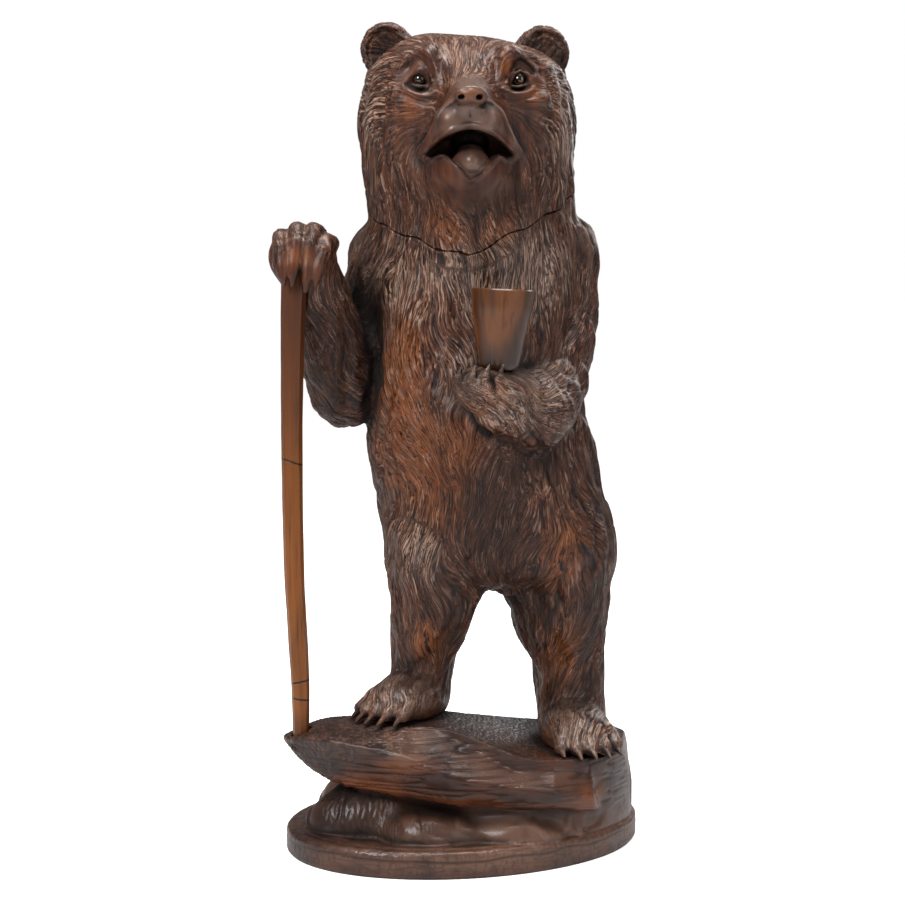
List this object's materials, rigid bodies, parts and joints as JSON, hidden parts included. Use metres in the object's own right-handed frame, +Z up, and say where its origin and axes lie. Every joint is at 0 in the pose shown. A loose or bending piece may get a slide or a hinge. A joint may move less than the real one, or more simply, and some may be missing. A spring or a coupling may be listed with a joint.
{
  "type": "carved bear tobacco jar",
  "caption": "Carved wooden standing bear with a staff and a cup; its head lifts off as the lid of a tobacco jar bored into the torso.",
  "frame": {"origin": "centre of the oval plinth's flat underside", "axes": "+Z up, the bear faces -Y, its left side is +X"},
  "size_m": [0.1474, 0.1219, 0.3311],
  "materials": {
    "carved_wood": "dark stained and waxed",
    "base_wood": "dark stained and waxed",
    "cup_wood": "rubbed and waxed",
    "staff_wood": "rubbed and waxed",
    "eye_glass": "dark glass, clear gloss"
  },
  "bodies": {
    "root": {"bear_body": "carved_wood", "bear_head_lid": "carved_wood", "glass_eye_right": "eye_glass", "glass_eye_left": "eye_glass", "drinking_cup": "cup_wood", "walking_staff": "staff_wood", "rock_base": "base_wood"}
  },
  "joints": []
}
